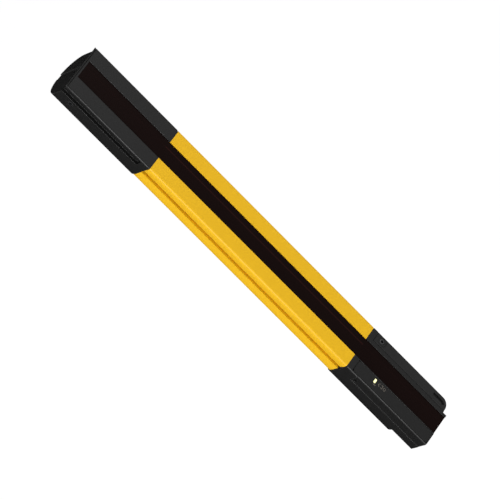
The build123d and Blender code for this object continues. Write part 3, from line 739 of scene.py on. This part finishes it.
def open_ring() -> Outline:
    """Outline of an oval ring that is open on one side.

    Returns:
        The outer corners, and then the inner ones backwards, in millimetres.
    """
    outer_wide, outer_tall = 0.8, 0.6
    inner_wide, inner_tall = 0.58, 0.4
    start, sweep, steps = 20, 320, 14
    angles = [math.radians(start + sweep * step / steps) for step in range(steps + 1)]
    outer = [(outer_wide * math.cos(a), outer_tall * math.sin(a)) for a in angles]
    inner = [(inner_wide * math.cos(a), inner_tall * math.sin(a)) for a in reversed(angles)]
    return outer + inner


@dataclass
class BottomCapDetail:
    """Screw of the cover, lens of the status lamp and the printed marks beside it."""

    screw_node: str = "access_cover_screw"
    screw_head_height: float = 0.6 * MM
    screw_shank_radius: float = 0.95 * MM
    lamp_node: str = "status_light_pipe"
    lamp_crown: float = 0.12 * MM
    lamp_sink: float = 0.132 * MM
    lamp_round: float = 0.45 * MM
    lamp_segments: int = 5
    lamp_face_limit: float = 0.9
    lamp_smooth_angle: float = math.radians(50)
    crown_inset: float = 0.16 * MM
    crown_shares: tuple[float, ...] = (0.45, 0.35, 0.2)
    mark_height: float = 0.015 * MM
    mark_scale: float = 1.25

    def build(self) -> None:
        """Builds the screw, the lens and the marks."""
        self._screw()
        self._lens()
        self._marks()

    def _screw(self) -> None:
        """Cover's screw, which stands for the plain one."""
        low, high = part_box(self.screw_node)
        seat = low.y + self.screw_head_height
        screw = DriveScrew((high.x - low.x) / 2, self.screw_head_height, self.screw_shank_radius,
                           high.y - seat).build()
        seat_screw(screw, Vector(((low.x + high.x) / 2, seat, (low.z + high.z) / 2)), Side.FRONT)
        settle(screw, "cover_screw", BLACK_STEEL)
        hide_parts(self.screw_node)

    def _lens(self) -> None:
        """Lens of the status lamp: a rounded bar whose face is slightly crowned."""
        deselect()
        low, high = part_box(self.lamp_node)
        low.y += self.lamp_sink
        size = high - low
        bpy.ops.mesh.primitive_cube_add(size=1, location=(low + high) / 2, scale=size)
        lens = bpy.context.object
        bpy.ops.object.transform_apply(location=True, rotation=True, scale=True)
        for edge in lens.data.edges:
            ends = [lens.data.vertices[v].co for v in edge.vertices]
            edge.select = abs(ends[0].y - ends[1].y) > size.y / 2
        bpy.ops.object.mode_set(mode="EDIT")
        bpy.ops.mesh.select_mode(type="EDGE")
        bpy.ops.mesh.bevel(offset=self.lamp_round, segments=self.lamp_segments)
        bpy.ops.mesh.select_all(action="DESELECT")
        bpy.ops.object.mode_set(mode="OBJECT")
        for polygon in lens.data.polygons:
            polygon.select = polygon.normal.y < -self.lamp_face_limit
        bpy.ops.object.mode_set(mode="EDIT")
        bpy.ops.mesh.select_mode(type="FACE")
        for share in self.crown_shares:
            bpy.ops.mesh.inset(thickness=self.crown_inset)
            bpy.ops.transform.translate(value=(0, -self.lamp_crown * share, 0))
        bpy.ops.object.mode_set(mode="OBJECT")
        bpy.ops.object.shade_smooth_by_angle(angle=self.lamp_smooth_angle)
        settle(lens, "lamp_lens", LAMP_LENS)
        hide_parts(self.lamp_node)

    def _flat_mark(self, name: str, outline: Outline, x: float, z: float) -> None:
        """Adds one printed mark.

        Args:
            name: The piece's name.
            outline: Corners of the mark round its middle, in millimetres before mark_scale.
            x: Place of its middle across the plate, in metres.
            z: Place of its middle along the bar, in metres.
        """
        deselect()
        bpy.ops.mesh.primitive_circle_add(vertices=len(outline), fill_type="NGON", location=(0, 0, 0))
        mark = bpy.context.object
        scale = self.mark_scale * MM
        for vertex, (across, along) in zip(mark.data.vertices, outline):
            vertex.co = (x + across * scale, self.plate_front, z + along * scale)
        bpy.ops.object.mode_set(mode="EDIT")
        bpy.ops.mesh.select_all(action="SELECT")
        bpy.ops.mesh.extrude_region_move(TRANSFORM_OT_translate={"value": (0, -self.mark_height, 0)})
        bpy.ops.mesh.select_all(action="SELECT")
        bpy.ops.mesh.normals_make_consistent(inside=False)
        bpy.ops.object.mode_set(mode="OBJECT")
        settle(mark, name, LEGEND_INK)

    @property
    def plate_front(self) -> float:
        """Y of the status plate's face, in metres."""
        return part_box("status_panel")[0].y

    def _marks(self) -> None:
        """Marks at the lamp: a short bar beside it, and a chevron, a bracket and an open ring below it."""
        low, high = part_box(self.lamp_node)
        lamp_x, lamp_z = (low.x + high.x) / 2, (low.z + high.z) / 2
        for name, outline, across, along in (
            ("mark_bar", BAR_OUTLINE, -2.1 * MM, -0.6 * MM),
            ("mark_chevron", CHEVRON_OUTLINE, 0.0, -3.0 * MM),
            ("mark_bracket", BRACKET_OUTLINE, 0.0, -4.8 * MM),
            ("mark_ring", open_ring(), 0.0, -6.8 * MM),
        ):
            self._flat_mark(name, outline, lamp_x + across, lamp_z + along)


@dataclass
class SoftLamp:
    """Studio lamp that points at the bar; a sheen lamp shows only as a reflection."""

    name: str
    place: Place
    size: float
    power: float
    tall: float = 0.0
    sheen: bool = False

    def build(self, target: Vector) -> None:
        """Adds the lamp.

        Args:
            target: The point that it faces.
        """
        data = bpy.data.lights.new(self.name, "AREA")
        data.shape = "RECTANGLE"
        data.size = self.size
        data.size_y = self.tall or self.size
        data.energy = self.power
        lamp = bpy.data.objects.new(self.name, data)
        lamp.location = self.place
        lamp.rotation_euler = (Vector(self.place) - target).to_track_quat("Z", "Y").to_euler()
        lamp.visible_camera = False
        lamp.visible_diffuse = not self.sheen
        bpy.context.scene.collection.objects.link(lamp)


@dataclass
class DarkCard:
    """Dark studio card that only mirrored rays see, so that it deepens one side of glossy plastic."""

    name: str
    place: Place
    size: float
    tone: float = 0.01

    def build(self, target: Vector) -> None:
        """Adds the card.

        Args:
            target: The point that it faces.
        """
        deselect()
        turn = (target - Vector(self.place)).to_track_quat("Z", "Y").to_euler()
        bpy.ops.mesh.primitive_plane_add(size=self.size, location=self.place, rotation=turn)
        card = bpy.context.object
        card.name = self.name
        bpy.ops.object.transform_apply(location=True, rotation=True, scale=True)
        made, maker = new_material(self.name)
        black = maker.node("ShaderNodeBsdfDiffuse", {}, {"Color": (self.tone, self.tone, self.tone, 1)})
        output = maker.node("ShaderNodeOutputMaterial")
        maker.tree.links.new(black.outputs[0], output.inputs["Surface"])
        card.data.materials.append(made)
        card.visible_camera = False
        card.visible_diffuse = False
        card.visible_shadow = False


@dataclass
class Studio:
    """Pale floor, white surroundings, lamps, dark cards and the camera."""

    middle: Vector = field(default_factory=lambda: Vector((0, 0, 0.135)))
    floor_drop: float = 0.6
    floor_size: float = 30.0
    floor_tone: float = 0.9
    floor_lift: float = 0.5
    world_level: float = 0.55
    lamps: tuple[SoftLamp, ...] = (
        SoftLamp("left_lamp", (-1.5, -0.45, 0.35), size=0.9, power=14.0),
        SoftLamp("front_lamp", (0.9, -1.6, 0.25), size=0.8, power=6.4),
        SoftLamp("edge_lamp", (-0.76, -0.42, -0.02), size=0.1, power=13.0, tall=0.44, sheen=True),
    )
    cards: tuple[DarkCard, ...] = (
        DarkCard("left_card", (-0.46, 0.84, -0.16), size=0.84),
        DarkCard("back_card", (0.12, 1.0, -0.16), size=0.84),
        DarkCard("end_card", (0.40, 0.75, 0.75), size=1.1),
    )
    camera_azimuth: float = 28.652
    camera_elevation: float = 16.219
    camera_roll: float = -44.958
    camera_distance: float = 2.4758
    camera_lens: float = 348.117
    aim: Vector = field(default_factory=lambda: Vector((0.001545, 0, 0.135452)))

    def build(self) -> None:
        """Builds the studio round the object."""
        self._world()
        self._floor()
        for lamp in self.lamps:
            lamp.build(self.middle)
        for card in self.cards:
            card.build(self.middle)
        self._camera()

    def _seen(self, maker: NodeMaker) -> Shade:
        """Tells apart the rays that show the surroundings from those that light the object.

        Args:
            maker: The node maker of the material or the world.

        Returns:
            One for what the camera sees straight, mirrored or through glass, and zero for lighting rays.
        """
        path = maker.node("ShaderNodeLightPath")
        seen = maker.out(path, "Is Camera Ray").largest(maker.out(path, "Is Glossy Ray"))
        return seen.largest(maker.out(path, "Is Transmission Ray"))

    def _world(self) -> None:
        """White surroundings for the eye, and a plain lower level for the light."""
        world = bpy.data.worlds.new("studio_white")
        bpy.context.scene.world = world
        world.use_nodes = True
        maker = NodeMaker(world.node_tree)
        seen = self._seen(maker)
        white = maker.node("ShaderNodeBackground", {}, {
            "Color": (1, 1, 1, 1), "Strength": seen * (1.0 - self.world_level) + self.world_level})
        output = maker.node("ShaderNodeOutputWorld")
        maker.tree.links.new(white.outputs[0], output.inputs["Surface"])

    def _floor(self) -> None:
        """Plain pale floor, which keeps the object's shadow."""
        deselect()
        bpy.ops.mesh.primitive_plane_add(size=self.floor_size, location=(0, 0, -self.floor_drop))
        floor = bpy.context.object
        floor.name = "floor"
        bpy.ops.object.transform_apply(location=True, rotation=True, scale=True)
        made, maker = new_material("pale_floor")
        pale = maker.node("ShaderNodeBsdfDiffuse", {},
                          {"Color": (self.floor_tone, self.floor_tone, self.floor_tone, 1)})
        lift = maker.node("ShaderNodeEmission", {},
                          {"Color": (1, 1, 1, 1), "Strength": self._seen(maker) * self.floor_lift})
        both = maker.node("ShaderNodeAddShader")
        output = maker.node("ShaderNodeOutputMaterial")
        maker.tree.links.new(pale.outputs[0], both.inputs[0])
        maker.tree.links.new(lift.outputs[0], both.inputs[1])
        maker.tree.links.new(both.outputs[0], output.inputs["Surface"])
        floor.data.materials.append(made)

    def _camera(self) -> None:
        """Long lens from the front left and a little above, rolled so that the bar lies aslant."""
        azimuth = math.radians(self.camera_azimuth)
        elevation = math.radians(self.camera_elevation)
        roll = math.radians(self.camera_roll)
        toward = Vector((-math.sin(azimuth) * math.cos(elevation), -math.cos(azimuth) * math.cos(elevation),
                         math.sin(elevation)))
        level = Vector((math.cos(azimuth), -math.sin(azimuth), 0))
        upright = toward.cross(level)
        right = math.cos(roll) * level + math.sin(roll) * upright
        up = math.cos(roll) * upright - math.sin(roll) * level
        data = bpy.data.cameras.new("camera")
        data.lens = self.camera_lens
        data.sensor_width = 36.0
        data.clip_end = 100.0
        camera = bpy.data.objects.new("camera", data)
        turned = Matrix((right, up, toward)).transposed().to_4x4()
        camera.matrix_world = Matrix.Translation(self.aim + toward * self.camera_distance) @ turned
        bpy.context.scene.collection.objects.link(camera)
        bpy.context.scene.camera = camera


def dress_nodes() -> None:
    """Gives every node of the frame its finish."""
    for finish, names in NODE_FINISHES.items():
        material = finish.material()
        for name in names:
            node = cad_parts[name]
            node.data.materials.clear()
            node.data.materials.append(material)
            log.info("node %s: %s", name, finish.name)


def main() -> None:
    """Dresses the frame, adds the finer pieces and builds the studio."""
    logging.basicConfig(level=logging.INFO, format="%(message)s")
    bpy.context.scene.view_settings.view_transform = "Standard"
    dress_nodes()
    TrimmedCap().build()
    TopCapDetail().build()
    BottomCapDetail().build()
    Studio().build()


if __name__ == "__main__":
    main()
